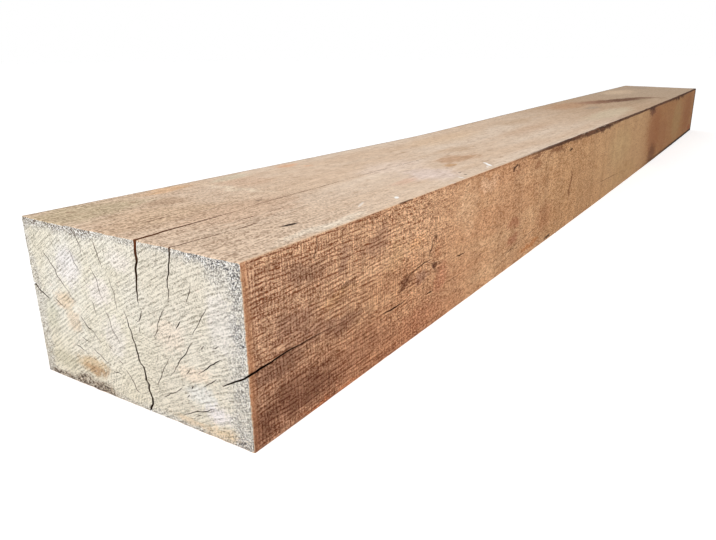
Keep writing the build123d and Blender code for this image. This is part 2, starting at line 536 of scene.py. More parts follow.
# Checks inside the near end, as lines of (across, up), with their gap
NEAR_CHECKS = [
    ([(-94, 110.5), (-87.5, 101), (-83, 95.5), (-74, 83.5)], 0.85),
    ([(-73.5, 77.5), (-64.5, 65), (-59, 59.5), (-51.5, 49.5), (-49, 46), (-45, 42)], 0.9),
    ([(-47, 100), (-43.5, 95.5), (-40.5, 90.5), (-37, 85.5), (-36, 79.5), (-29.5, 70.5)], 0.85),
    ([(-21, 93), (-18, 90), (-17, 86), (-14.5, 83), (-9.5, 78.5)], 0.85),
    ([(-16, 78.5), (-13, 75.5), (-13.5, 71)], 0.5),
    ([(-79, 127), (-77, 118.5), (-75, 114.5), (-71.5, 108)], 0.7),
    ([(-64, 94), (-60.5, 88.5), (-57, 84)], 0.8),
    ([(-50.5, 80.5), (-49.5, 77), (-46.5, 72.5)], 0.5),
    ([(-48.5, 61.5), (-41.5, 51), (-38, 46.5), (-34.5, 40.5), (-31.5, 35), (-27.5, 28)], 0.75),
    ([(-34, 59), (-29, 48)], 0.5),
    ([(-105.5, 72), (-102, 70), (-96.5, 66.5), (-83, 56.5), (-76, 50.5)], 0.85),
    ([(-69.5, 54.5), (-66, 50.5), (-63, 47.5)], 0.7),
    ([(-97, 53.5), (-92, 49), (-86, 45.5), (-79.5, 41)], 0.85),
    ([(-58, 35.5), (-53, 31), (-46.5, 27), (-42.5, 26), (-39, 22), (-32, 19)], 0.8),
    ([(-71.5, 40.5), (-67, 36)], 0.7),
    ([(-65, 31.5), (-62, 27)], 0.6),
    ([(-94, 28), (-82.5, 21.5), (-72.5, 18), (-65, 15), (-53.5, 8.5)], 0.7),
    ([(-77, 16), (-71, 13.5), (-67, 11)], 0.6),
    ([(-87.5, 78.5), (-82, 73.5)], 0.6),
    ([(-103, 82), (-96, 77.5)], 0.6),
    ([(-38, 9.5), (-31, 4)], 0.5),
    ([(101, 80), (93, 76), (86, 72.5)], 0.85),
    ([(108, 125), (98.5, 114), (92.5, 109), (90, 102), (81.5, 94.5), (76.5, 88.5), (68, 81)], 0.85),
    ([(66, 71.5), (57.5, 61), (49.5, 58.5), (40, 49)], 0.8),
    ([(31.5, 49.5), (26, 47)], 0.8),
    ([(20.5, 39.5), (14, 36)], 0.8),
    ([(13.5, 33), (5, 24.5), (0.5, 16), (-5, 13.5)], 0.8),
    ([(54.5, 148.2), (53.5, 142.5), (51, 138.5), (49.5, 134), (50.5, 127.5)], 0.85),
    ([(32.5, 145), (28.5, 134), (26, 127.5), (23.5, 118.5)], 0.8),
    ([(65.5, 130.5), (62, 120), (57, 111)], 0.6),
    ([(53, 106), (48, 101.5)], 0.6),
    ([(40, 119), (38.5, 114.5), (34.5, 110.5), (33.5, 103), (31, 93.5), (28, 89)], 0.7),
    ([(29.5, 83), (26, 78.5), (23, 75), (23.5, 70), (21, 64.5), (14.5, 56)], 0.85),
    ([(17.5, 114.5), (15, 104), (12.5, 99.5), (13, 92), (12, 84.5)], 0.8),
    ([(45.5, 89.5), (42, 79), (40.5, 75)], 0.8),
    ([(69, 49), (57, 46)], 0.8),
    ([(55.5, 43), (43.5, 36.5), (30.5, 29)], 0.8),
    ([(81.5, 39.5), (71, 38), (61, 32.5)], 0.85),
    ([(57, 32), (51, 30.5)], 0.7),
    ([(28.5, 24.5), (22, 27), (17.5, 25)], 0.7),
]

# Checks on the long faces: face, line of (along, sideways), gap and depth
FACE_CHECKS = [
    ("top", [(119, -17.5), (160, -16), (284, -16.4)], 1.1, 9),
    ("top", [(292, -15.5), (390, -16), (486, -20)], 0.9, 6),
    ("top", [(60, -65), (92, -65.6)], 1.3, 8),
    ("top", [(80, -46), (110, -46.6)], 1.2, 7),
    ("top", [(118, -46.5), (150, -46)], 1.0, 6),
    ("top", [(30, 15), (84, 17)], 0.7, 4),
    ("side", [(178, 48.6), (200, 47.4), (227, 47.2)], 1.7, 8),
    ("side", [(268, 40), (286, 39.6)], 1.3, 5),
    ("side", [(340, 62.8), (352, 61.6), (368, 62)], 1.4, 8),
    ("side", [(308, 39.4), (362, 38.2)], 0.5, 4),
    ("side", [(219, 64.5), (226, 67.5), (235.5, 72), (250, 75), (263, 77), (281, 77)], 1.2, 7),
    ("side", [(982, 40), (1080, 36), (1180, 32)], 0.7, 4),
    ("side", [(456, 25), (480, 25), (505, 26.5), (532, 27.5), (555, 30), (597, 32), (643, 34.5)], 0.5, 3),
    ("side", [(500, 24.6), (533, 25.4)], 0.8, 4),
    ("side", [(293, 67), (308, 66)], 0.8, 4),
    ("side", [(407, 56), (429, 55)], 0.6, 3),
]


END_CHECK_LEAST, END_CHECK_SHARE = 6.0, 0.6  # depth of a check on the near end, by its own length
FAR_CHECK_DEPTH, FAR_CHECK_GAP = 30.0, (0.8, 1.5)
FAR_ANGLES, FAR_INNER, FAR_OUTER = (14, 172, 11.5), (26, 60), (78, 112)
FACE_CHECK_STEP = 4.0


def end_check(path, gap, seed):
    """A check on the near end, which goes deeper the longer it is."""
    length = hypot(path[-1][0] - path[0][0], path[-1][1] - path[0][1])
    return groove("near", path, gap, max(END_CHECK_LEAST, END_CHECK_SHARE * length), seed)


def far_checks():
    """The fan on the hidden far end: rays from the heart, each a little crooked, with their gaps."""
    rng = np.random.default_rng(97)
    made = []
    for angle in np.arange(*FAR_ANGLES):
        turn = radians(angle + rng.uniform(-3, 3))
        inner, outer = rng.uniform(*FAR_INNER), rng.uniform(*FAR_OUTER)
        ray = np.array([-cos(turn), sin(turn)])
        across = np.array([ray[1], -ray[0]])
        path = [np.array(PITH_FAR) + ray * reach + across * rng.uniform(-1.5, 1.5)
                for reach in (inner, (inner + outer) / 2, outer)]
        made.append((path, rng.uniform(*FAR_CHECK_GAP)))
    return made


def turn_out(mesh):
    """Make every face of a closed mesh point outwards."""
    work = bmesh.new()
    work.from_mesh(mesh)
    bmesh.ops.recalc_face_normals(work, faces=work.faces)
    work.to_mesh(mesh)
    work.free()
    mesh.update()


def cut(timber, name, shapes):
    """Take a set of closed shapes that don't meet each other out of the timber."""
    points, faces = [], []
    for verts, own_faces in shapes:
        faces += [tuple(len(points) + index for index in face) for face in own_faces]
        points += verts
    placed = to_frame(*np.array(points, float).T)
    cutter = make_mesh(name, placed, faces, [WALL] * len(faces))
    for material in timber.data.materials:
        cutter.data.materials.append(material)
    turn_out(cutter.data)
    change = timber.modifiers.new(name, "BOOLEAN")
    change.operation = "DIFFERENCE"
    change.object = cutter
    change.solver = "MANIFOLD"
    change.material_mode = "TRANSFER"
    bpy.context.view_layer.update()
    evaluated = timber.evaluated_get(bpy.context.evaluated_depsgraph_get())
    result = bpy.data.meshes.new_from_object(evaluated)
    timber.modifiers.clear()
    old, timber.data = timber.data, result
    bpy.data.meshes.remove(old)
    bpy.data.objects.remove(cutter)


def cut_splits(timber):
    for number, sizes in enumerate(NEAR_SPLITS):
        cut(timber, f"split_{number}", [split(*sizes, 201 + number)])
    near_fan = [end_check(*sizes, 301 + n) for n, sizes in enumerate(NEAR_CHECKS)]
    far_fan = [groove("far", *sizes, FAR_CHECK_DEPTH, 401 + n) for n, sizes in enumerate(far_checks())]
    long_ones = [groove(*sizes, 501 + n, step=FACE_CHECK_STEP) for n, sizes in enumerate(FACE_CHECKS)]
    for name, shapes in (("near_fan", near_fan), ("far_fan", far_fan), ("face_checks", long_ones)):
        cut(timber, name, shapes)


# Shader nodes, written as sums over fields

class Field:
    """A number at every point of a surface, which combines with others like any number."""

    def __init__(self, graph, socket):
        self.graph, self.socket = graph, socket

    def __add__(self, other):
        return self.graph.math("ADD", self, other)

    def __sub__(self, other):
        return self.graph.math("SUBTRACT", self, other)

    def __rsub__(self, other):
        return self.graph.math("SUBTRACT", other, self)

    def __mul__(self, other):
        return self.graph.math("MULTIPLY", self, other)

    def __truediv__(self, other):
        return self.graph.math("DIVIDE", self, other)

    def __pow__(self, other):
        return self.graph.math("POWER", self, other)

    __radd__ = __add__
    __rmul__ = __mul__

    def wave(self, pitch):
        """Zero to one and back once in every pitch."""
        return self.graph.math("SINE", self * (2 * pi / pitch)) * 0.5 + 0.5

    def rise(self, start, stop):
        """Zero below the start and one above the stop, or the other way round, with soft ends."""
        return self.graph.node("ShaderNodeMapRange", [self, start, stop, 0.0, 1.0],
                               interpolation_type="SMOOTHSTEP")

    def least(self, other):
        return self.graph.math("MINIMUM", self, other)

    def most(self, other):
        return self.graph.math("MAXIMUM", self, other)


def srgb(red, green, blue):
    """A colour as a picture states it, from 0 to 255, as the linear colour of a shader."""
    parts = [value / 255 for value in (red, green, blue)]
    return [part / 12.92 if part <= 0.04045 else ((part + 0.055) / 1.055) ** 2.4 for part in parts] + [1.0]


def feed(tree, node, inputs):
    """Link or set the inputs of a node, given by place or by name."""
    pairs = inputs.items() if isinstance(inputs, dict) else enumerate(inputs)
    for key, value in pairs:
        value = value.socket if isinstance(value, Field) else value
        if isinstance(value, bpy.types.NodeSocket):
            tree.links.new(value, node.inputs[key])
        elif value is not None:
            node.inputs[key].default_value = value


def add_node(tree, kind, inputs, **settings):
    made = tree.nodes.new(kind)
    for key, value in settings.items():
        setattr(made, key, value)
    feed(tree, made, inputs)
    return made


class Graph:
    """The node tree of one material, with the beam's own directions in millimetres."""

    def __init__(self, name):
        self.material = bpy.data.materials.new(name)
        self.material.use_nodes = True
        self.tree = self.material.node_tree
        self.shader = self.tree.nodes["Principled BSDF"]
        spot = self.tree.nodes.new("ShaderNodeTexCoord").outputs["Object"]
        scaled = self.vector("SCALE", spot, None, None, 1 / MM)
        self.spot = self.vector("ADD", scaled, (LENGTH / 2, 0, 0))
        self.along, self.y, self.up = self.parts(self.spot)

    def raw(self, kind, inputs, **settings):
        return add_node(self.tree, kind, inputs, **settings)

    def node(self, kind, inputs, **settings):
        return Field(self, self.raw(kind, inputs, **settings).outputs[0])

    def math(self, operation, first, second=None):
        return self.node("ShaderNodeMath", [first, second], operation=operation)

    def vector(self, operation, *inputs):
        return self.raw("ShaderNodeVectorMath", inputs, operation=operation).outputs[0]

    def parts(self, spot):
        """The three directions of a place."""
        return [Field(self, socket) for socket in self.raw("ShaderNodeSeparateXYZ", [spot]).outputs]

    def texture(self, spot, detail, roughness):
        return self.node("ShaderNodeTexNoise", {"Vector": spot.outputs[0], "Scale": 1.0, "Detail": detail,
                                                "Roughness": roughness})

    def noise(self, size, detail=2.0, roughness=0.5, shift=0.0):
        """Noise about 0.5, with features of one size or of a size along, across and up."""
        placed = self.raw("ShaderNodeMapping", {"Vector": self.spot, "Location": (shift,) * 3,
                                                "Scale": [1 / value for value in np.broadcast_to(size, 3)]})
        return self.texture(placed, detail, roughness)

    def turned_noise(self, first, second, shift):
        """Noise about 0.5 over two directions of its own."""
        return self.texture(self.raw("ShaderNodeCombineXYZ", [first, second, shift]), 2.0, 0.6)

    def cells(self, first, second, shift=0.0):
        """A chance value from 0 to 1 for each of many irregular cells over two directions."""
        spot = self.raw("ShaderNodeCombineXYZ", [first + shift, second, 0.0]).outputs[0]
        made = self.raw("ShaderNodeTexVoronoi", {"Vector": spot, "Scale": 1.0}, voronoi_dimensions="2D")
        return Field(self, made.outputs["Color"])

    def warped(self, amount, size):
        """The place moved about by noise, for natural outlines."""
        scale = [1 / value for value in size]
        mapped = self.raw("ShaderNodeMapping", {"Vector": self.spot, "Scale": scale}).outputs[0]
        chance = self.raw("ShaderNodeTexNoise", {"Vector": mapped, "Scale": 1.0, "Detail": 3.0})
        centred = self.vector("SUBTRACT", chance.outputs["Color"], (0.5, 0.5, 0.5))
        moved = self.vector("MULTIPLY", centred, [2 * value for value in amount])
        return self.vector("ADD", self.spot, moved)

    def blob(self, centre, reach, turn=0, core=0.25, spot=None):
        """One in the middle of an ellipsoid and zero outside it; turn is in degrees about the vertical."""
        mapped = self.raw("ShaderNodeMapping",
                          {"Vector": spot or self.spot, "Location": centre, "Scale": reach,
                           "Rotation": (0, 0, radians(turn))}, vector_type="TEXTURE")
        length = self.raw("ShaderNodeVectorMath", [mapped.outputs[0]], operation="LENGTH")
        return Field(self, length.outputs["Value"]).rise(1.0, core)

    def mix(self, amount, first, second):
        """First colour where the amount is zero, second where it is one."""
        return self.raw("ShaderNodeMix", {0: amount, 6: first, 7: second}, data_type="RGBA").outputs[2]

    def lay(self, colour, *layers):
        """Lay tones over a colour, each given as its amount and then red, green and blue."""
        for amount, *tone in layers:
            colour = self.mix(amount, colour, srgb(*tone))
        return colour

    def toned(self, colour, amount, dark, light):
        """The colour, from its dark version where the amount is zero to its light one at one."""
        return self.mix(amount, *(self.vector("MULTIPLY", colour, parts) for parts in (dark, light)))

    def finish(self, colour, height, roughness, specular):
        """Feed the shader: height is in millimetres."""
        bump = self.raw("ShaderNodeBump", {"Height": height, "Distance": MM, "Strength": 1.0})
        feed(self.tree, self.shader, {"Base Color": colour, "Normal": bump.outputs[0], "Roughness": roughness,
                                      "Specular IOR Level": specular})
        return self.material


def stretch(field, spread=0.16):
    """Noise about 0.5, spread out to fill zero to one."""
    return field.rise(0.5 - spread, 0.5 + spread)


# Stains: their place on the face in its own two directions, their reach in both, colour and
# strength, and for some a turn in degrees

END_STAINS = [
    (76, 113, 30, 32, (238, 233, 238), 0.5), (88, 80, 24, 15, (229, 200, 166), 0.55),
    (78, 62, 18, 18, (228, 200, 168), 0.45), (62, 24, 38, 16, (204, 176, 136), 0.75),
    (58, 20, 26, 7, (170, 130, 92), 0.6), (-76, 33, 30, 14, (222, 226, 230), 0.4),
    (-92, 22, 22, 14, (236, 230, 238), 0.5), (-100, 4, 44, 13, (222, 196, 160), 0.75),
    (-60, 6, 30, 6, (214, 186, 150), 0.5), (-70, 50, 34, 12, (236, 214, 192), 0.55),
    (-45, 78, 30, 22, (238, 218, 200), 0.45), (24, 60, 22, 36, (234, 227, 228), 0.35),
    (36, 98, 24, 22, (238, 228, 226), 0.5), (5, 130, 24, 16, (240, 230, 226), 0.4),
    (112, 62, 20, 26, (198, 194, 172), 0.55), (104, 20, 36, 16, (200, 192, 168), 0.6),
    (-104, 100, 26, 46, (228, 224, 226), 0.35),
]

TOP_STAINS = [
    (30, 100, 110, 60, (204, 188, 156), 0.75), (150, 116, 60, 20, (232, 186, 138), 0.55),
    (60, 30, 120, 60, (214, 184, 152), 0.6), (120, -22, 120, 60, (210, 176, 148), 0.5),
    (108, 72, 40, 28, (184, 152, 122), 0.5), (190, 60, 14, 76, (240, 224, 200), 0.65),
    (230, 80, 60, 50, (220, 186, 158), 0.5), (340, 112, 34, 20, (236, 182, 142), 0.7),
    (356, 86, 22, 12, (230, 184, 150), 0.6), (240, 112, 60, 16, (222, 214, 190), 0.6),
    (370, -80, 76, 60, (236, 218, 208), 0.85), (400, -10, 110, 50, (236, 216, 200), 0.65),
    (438, -70, 26, 15, (212, 168, 124), 0.75), (496, -54, 74, 36, (202, 162, 128), 0.8),
    (580, -14, 90, 30, (206, 174, 142), 0.55), (310, -80, 46, 22, (226, 188, 164), 0.6),
    (700, 60, 240, 60, (234, 204, 170), 0.5), (880, -20, 240, 40, (212, 180, 152), 0.5),
    (1010, 50, 140, 50, (208, 178, 146), 0.5), (1300, -80, 330, 56, (226, 210, 182), 0.75),
    (1450, 66, 220, 70, (206, 162, 126), 0.65), (1420, -4, 90, 26, (178, 160, 144), 0.5),
    (1610, 34, 160, 60, (168, 122, 96), 0.75, -8), (1660, 8, 150, 56, (140, 102, 78), 0.7, -13),
    (1750, -18, 170, 56, (116, 80, 60), 0.9, -13), (1850, -44, 100, 46, (128, 92, 70), 0.8, -22),
    (1890, -80, 60, 30, (146, 112, 88), 0.5, -60), (110, -118, 90, 16, (240, 230, 212), 0.6),
    (1720, -60, 280, 36, (184, 158, 130), 0.45), (2090, 70, 240, 80, (232, 206, 176), 0.8),
    (2390, 60, 130, 80, (186, 166, 150), 0.55),
]

SIDE_STAINS = [
    (54, 145, 90, 7, (226, 180, 142), 0.58), (66, 125, 38, 14, (132, 94, 76), 0.46),
    (54, 83, 46, 21, (132, 90, 76), 0.46), (81, 141, 2.4, 10, (104, 70, 54), 0.75),
    (119, 120, 16, 20, (138, 98, 84), 0.45), (172, 123, 44, 16, (144, 100, 82), 0.46),
    (28, 57, 54, 19, (110, 70, 56), 0.6), (84, 66, 70, 14, (136, 92, 78), 0.45),
    (126, 65, 28, 20, (120, 78, 62), 0.5), (128, 91, 14, 8, (112, 72, 56), 0.65),
    (54, 26, 96, 28, (112, 68, 50), 0.68), (16, 12, 26, 26, (118, 74, 54), 0.6),
    (150, 30, 90, 26, (156, 104, 78), 0.4), (100, 1, 80, 6, (206, 128, 82), 0.55),
    (930, 147, 240, 9, (122, 82, 60), 0.8), (1010, 148, 120, 7, (88, 58, 46), 0.85),
    (110, 88, 50, 9, (206, 158, 112), 0.45), (222, 66, 20, 12, (92, 56, 44), 0.85),
    (236, 68, 18, 8, (104, 66, 52), 0.75), (260, 64, 22, 11, (156, 116, 98), 0.65),
    (279, 88, 2.4, 14, (78, 44, 32), 0.95), (288, 97, 8, 4, (96, 54, 38), 0.75),
    (288, 68, 6, 10, (92, 52, 38), 0.9), (296, 84, 12, 16, (176, 114, 78), 0.5),
    (304, 50, 30, 26, (200, 130, 100), 0.45), (255, 20, 80, 24, (182, 120, 88), 0.35),
    (252, 100, 30, 14, (222, 168, 122), 0.6), (208, 100, 26, 30, (202, 158, 116), 0.45),
    (430, 134, 54, 18, (240, 200, 164), 0.55), (370, 112, 46, 50, (232, 190, 150), 0.72),
    (205, 75, 110, 28, (178, 118, 80), 0.32), (520, 143, 22, 4, (70, 44, 32), 0.9),
    (514, 140, 10, 4, (74, 42, 28), 0.95), (535, 142, 3, 9, (100, 60, 40), 0.8),
    (289, 57, 12, 7, (110, 66, 46), 0.5), (535, 131, 12, 8, (160, 108, 74), 0.55),
    (526, 62, 40, 20, (176, 114, 82), 0.65), (528, 38, 40, 10, (172, 108, 80), 0.6),
    (614, 130, 26, 12, (160, 108, 74), 0.7), (606, 142, 40, 6, (132, 86, 60), 0.75),
    (700, 140, 80, 9, (136, 90, 60), 0.75), (760, 149, 9, 5, (52, 32, 24), 1),
    (780, 132, 13, 5, (64, 38, 26), 1), (794, 68, 12, 44, (140, 94, 62), 0.75),
    (660, 44, 60, 36, (180, 124, 86), 0.5), (600, 12, 60, 8, (196, 126, 74), 0.65),
    (684, 6, 16, 6, (66, 42, 32), 0.9), (1180, 90, 190, 70, (206, 172, 126), 0.7),
    (1250, 30, 220, 40, (196, 158, 112), 0.6), (1600, 85, 190, 120, (158, 98, 62), 0.6),
    (1600, 20, 110, 50, (112, 70, 44), 0.7), (1545, 140, 80, 20, (104, 60, 46), 0.75),
    (1765, 60, 120, 90, (166, 112, 74), 0.5), (2040, 75, 170, 110, (182, 150, 102), 0.6),
    (2310, 80, 190, 120, (156, 98, 62), 0.55), (2420, 16, 70, 24, (164, 82, 58), 0.55),
    (1990, 160, 480, 26, (66, 36, 26), 1), (1530, 150, 70, 12, (74, 44, 34), 0.85),
]

# Pale torn slivers on the top, as place, reach, turn and strength, and dark specks
SLIVERS = [
    (234, -113, 7, 3, 30, 0.9), (190, -100, 14, 2, 20, 0.4), (337, -134, 16, 3, -40, 0.9),
    (366, -122, 9, 2, 60, 0.7), (477, -105, 7, 3, 44, 0.9), (466, -114, 14, 3.4, 39, 1.0),
    (452, -118, 10, 2, 20, 0.4),
]
SPECKS = [(396, -106), (386, -118)]

# How far marks reach through their face, which isn't flat, and more where the top rises
THROUGH, TOP_THROUGH, FAR_TOP_THROUGH, MARK_THROUGH = 60.0, 30.0, 40.0, 20.0
FAR_TOP = 1400.0


def paint(g, colour, face, stains, spot, ragged):
    """Lay the stains of one face over a colour, with ragged edges."""
    eaten = ragged * 0.7
    for first, second, wide, tall, tone, strength, *turn in stains:
        if face == "top":
            through = FAR_TOP_THROUGH if first > FAR_TOP else TOP_THROUGH
            centre, reach = (first, second, HEIGHT), (wide, tall, through)
        elif face == "side":
            centre, reach = (first, -WIDTH / 2, second), (wide, THROUGH, tall)
        else:
            centre, reach = (0, first, second), (THROUGH, wide, tall)
        whole = g.blob(centre, reach, *turn, core=0.1, spot=spot)
        mask = (whole * 1.4 - eaten).rise(-0.2, 0.95) * strength
        colour = g.mix(mask, colour, srgb(*tone))
    return colour


def below_top(g):
    """How deep a place lies below the -Y edge of the top, which dips and rises along the beam."""
    share = g.along / LENGTH
    return share * (FAR_GAIN - 4 * TOP_DIP) + share * share * (4 * TOP_DIP) + HEIGHT - g.up


def behind_side(g, way):
    """How deep a place lies behind a bowed long side: the -Y one for a way of 1, the back for -1."""
    share = g.along / LENGTH
    return (g.y + share * (1 - share) * (4 * CROOK)) * way + (WIDTH / 2 - END_SHIFT * way)


SAW_TILT = radians(29)
SAW_BEND = 0.0005


def end_material(name, pith, near):
    """Pale sawn end: saw marks across the rays, rings round the heart, stains and a weathered edge."""
    g = Graph(name)
    across, up = g.y - END_SHIFT, g.up
    from_y, from_z = across - pith[0], up - pith[1]
    radius = (from_y * from_y + from_z * from_z) ** 0.5
    angle = g.math("ARCTAN2", from_z, from_y)
    # Saw marks rise to the right and steepen to the left
    level = across * sin(SAW_TILT) + up * cos(SAW_TILT) + across * across * SAW_BEND
    travel = up * sin(SAW_TILT) - across * cos(SAW_TILT)
    sway = g.noise(26, shift=3) - 0.5
    rings = radius.rise(84, 56) * from_y.rise(-22, 4)
    combed = (level + sway * 6).wave(3.5) * (1 - rings) + (radius + sway * 9).wave(3.3) * rings
    marks = g.cells(travel / 7, level / 0.75, 40)
    streaks = g.turned_noise(travel / 40, level / 1.2, 5)
    rays = g.turned_noise(angle * 60, radius / 26, 9)
    dots = g.cells(across / 0.72, up / 0.66)
    grit = g.noise(1.05, roughness=0.8, shift=13)
    tone = combed * 0.12 + marks * 0.26 + dots * 0.46 + stretch(streaks, 0.12) * 0.10 + stretch(grit) * 0.06
    tone = (tone - rays.rise(0.40, 0.28) * 0.14).rise(0.18, 0.64)
    colour = g.lay(
        g.mix(stretch(g.noise((60, 45, 45), detail=3)), srgb(228, 221, 203), srgb(232, 227, 215)),
        (up.rise(90, 0) * 0.5, 216, 204, 180),
        (across.rise(30, -60) * 0.7, 217, 208, 192),
    )
    if near:
        loose = g.warped((0, 5, 5), (20, 20, 20))
        ragged = stretch(g.noise(6, detail=4, roughness=0.7, shift=29), 0.2)
        colour = paint(g, colour, "end", END_STAINS, loose, ragged)
    colour = g.toned(colour, tone, (0.34, 0.33, 0.30), (1.09, 1.09, 1.10))
    height = tone * 0.12
    if near:
        colour, height = weather(g, colour, height, across, dots, grit, loose)
    return g.finish(colour, height, grit * 0.2 + 0.72, 0.1)


def weather(g, colour, height, across, dots, grit, loose):
    """Grey, speckled rim round the near end, and torn bark along its low edge."""
    up, below = g.up, HEIGHT - g.up
    blotch = g.noise(13, detail=4, roughness=0.65, shift=19)
    patchy = stretch(g.noise(26, shift=21), 0.2) * 0.5 + 0.5
    right = (across + WIDTH / 2 - blotch * (up.rise(120, 20) * 9 + 9) * 1.8).rise(12, -3)
    top_left = (below - blotch * 14).rise(4, -4) * across.rise(10, 45) * 1.2
    top_middle = (below - blotch * 8).rise(3, -2) * 0.65
    top_right = (below - blotch * 13).rise(4, -3) * across.rise(-50, -84)
    corner = g.blob((0, -106, 138), (60, 22, 16), spot=loose) * 0.6
    left = (WIDTH / 2 - across - blotch * (up.rise(125, 95) * 14 + 6)).rise(7, -3) * 0.7
    foot = (up - blotch * 7).rise(4, -2) * 0.7
    rim = ((right + top_left + top_middle + top_right + corner + left + foot) * patchy).least(1.0)
    specks = dots * 0.75 + stretch(grit) * 0.25
    colour = g.lay(
        colour,
        (rim * 0.28, 208, 205, 200),
        (rim * specks.rise(0.56, 0.74) * 0.7, 248, 248, 249),
    )
    dusk = g.mix(across.rise(-40, 20), srgb(64, 62, 70), srgb(84, 64, 48))
    colour = g.mix(rim * specks.rise(0.56, 0.38) * 0.95, colour, dusk)
    bark = g.blob((0, 62, 0), (60, 44, 17), spot=loose) + g.blob((0, 108, 0), (60, 30, 9), spot=loose) * 0.7
    bark = (bark * 1.6).least(1.0)
    knotted = g.noise((5, 4, 2.0), detail=4, roughness=0.8, shift=23)
    torn = ((knotted + bark * 0.12).rise(0.48, 0.60) * bark).least(1.0)
    chips = specks * 0.5 + g.cells(across / 2.4, up / 1.3, 60) * 0.5
    colour = g.lay(
        colour,
        (torn * 0.6, 146, 118, 92),
        (torn * chips.rise(0.52, 0.38), 58, 42, 34),
        (torn * chips.rise(0.60, 0.72), 232, 222, 206),
    )
    return colour, height + torn * 0.5 + rim * (grit - 0.5) * 0.8


def top_material():
    """Flat-sawn long grain, pale and dusty, with speckled pores near the end."""
    g = Graph("oak_sawn_top")
    warped = g.parts(g.warped((60, 9, 9), (260, 40, 40)))
    from_y, from_z = warped[1] + 13, warped[2] - 10
    grain = ((from_y * from_y + from_z * from_z) ** 0.5).wave(2.9)
    broad = stretch(g.noise((420, 46, 46), detail=3, shift=5))
    fibre = g.noise((26, 2.4, 2.4), detail=3, roughness=0.65, shift=9)
    pores = g.noise((5, 1.5, 1.5), roughness=0.75, shift=15)
    wide = g.along.rise(220, 400)
    dots = g.cells(g.along / 2.0, g.y / 1.8) * (1 - wide) + g.cells(g.along / 4.6, g.y / 4.0, 80) * wide
    fine = g.cells(g.along / 1.2, g.y, 20)
    flecks = g.noise((15, 12, 12), detail=4, roughness=0.7, shift=27)
    lines = g.noise((170, 7, 7), detail=3, roughness=0.6, shift=57)
    near = g.along.rise(330, 40)
    colour = g.lay(
        g.mix(broad, srgb(227, 201, 175), srgb(233, 213, 192)),
        (near * 0.8, 215, 191, 167),
        (g.along.rise(850, 1500), 206, 177, 148),
        (g.along.rise(1400, 2100), 202, 179, 154),
    )
    ragged = stretch(g.noise((24, 6, 6), detail=4, roughness=0.7, shift=33), 0.2)
    colour = paint(g, colour, "top", TOP_STAINS, g.warped((34, 14, 1), (60, 26, 26)), ragged)
    tone = stretch(pores) * 0.18 + dots * 0.42 + fine * 0.16 + stretch(fibre) * 0.17 + grain * 0.07
    depth = near * 0.62 + 0.22
    speckled = (tone.rise(0.24, 0.68) - 0.62) * depth + 0.62
    colour = g.toned(colour, speckled, (0.45, 0.38, 0.34), (1.20, 1.21, 1.22))
    dull = stretch(fibre) * 0.22 + stretch(flecks, 0.13) * 0.50 + stretch(lines, 0.14) * 0.28
    dull = (dull - 0.5) * (1 - near * 0.6) + 0.5
    colour = g.toned(colour, dull, (0.88, 0.85, 0.82), (1.08, 1.09, 1.10))
    mark = g.blob((98, -90, HEIGHT), (12, 3, MARK_THROUGH), -8, core=0.5)
    pit = g.blob((157, -3, HEIGHT), (6, 3, MARK_THROUGH), core=0.4)
    colour = g.lay(colour, ((mark + pit * 0.5).least(1.0), 54, 38, 30))
    for along, across, wide, tall, turn, strength in SLIVERS:
        sliver = g.blob((along, across, HEIGHT), (wide, tall, MARK_THROUGH), turn, core=0.5)
        colour = g.lay(colour, (sliver * strength, 252, 250, 246))
    for along, across in SPECKS:
        speck = g.blob((along, across, HEIGHT), (3.4, 2.4, MARK_THROUGH), core=0.5)
        colour = g.lay(colour, (speck * 0.8, 96, 82, 76))
    from_back, from_side = behind_side(g, -1), behind_side(g, 1)
    rim = (from_back - flecks * 2).rise(3.2, 0.8) * (g.along.rise(60, 900) * 0.6 + 0.4)
    # Painted shade: a dark band across the far end of the top, joined to the dark line along its back edge
    rim = rim.most(g.along.rise(LENGTH - 16, LENGTH - 5))
    colour = g.lay(
        colour,
        (rim * 0.85, 92, 78, 64),
        # Painted highlight: a pale line along the rounded -Y edge of the top, near the near end
        (from_side.rise(3.4, 1.6) * g.along.rise(640, 480) * 0.5, 242, 208, 174),
    )
    colour = wane_colour(g, colour, from_side)
    height = tone * depth * 0.28 + stretch(fibre) * 0.08 - mark * 0.8 - pit * 0.5
    return g.finish(colour, height, fibre * 0.15 + 0.7, 0.06)


def wane_colour(g, colour, from_side):
    """Dark inner bark where the log's surface shows at the corner, and a thin dark arris beyond."""
    y, z = g.y - LOG_MIDDLE[0], g.up - LOG_MIDDLE[1]
    radius = (y * y + z * z) ** 0.5
    ragged = g.noise((26, 4, 4), detail=3, shift=31)
    mask = None
    for centre, half, bite in WANES:
        away = (g.along - centre) / half
        limit = away * away * bite + (corner_radius(centre) - bite)
        own = (radius - limit + ragged * 2).rise(-0.2, 1.2) * (away * away).rise(1.6, 1.0)
        mask = own if mask is None else mask.most(own)
    side = g.y.rise(-60, -90)
    close = below_top(g) + from_side
    worn = g.noise((40, 5, 5), detail=3, roughness=0.7, shift=37)
    width = g.along.rise(150, 900) * 2.2 + 1.3
    line = (close - worn * width * 2).rise(1.2, -0.4) * side * (g.along.rise(470, 680) * 0.80 + 0.10)
    line = line.most(close.rise(1.8, 0.6) * g.blob((224, -129, 150), (17, 8, 8), core=0.5) * 0.8)
    bark = g.mix(stretch(ragged), srgb(54, 34, 26), srgb(110, 74, 54))
    return g.mix(mask * side * 0.9, g.lay(colour, (line, 76, 46, 34)), bark)


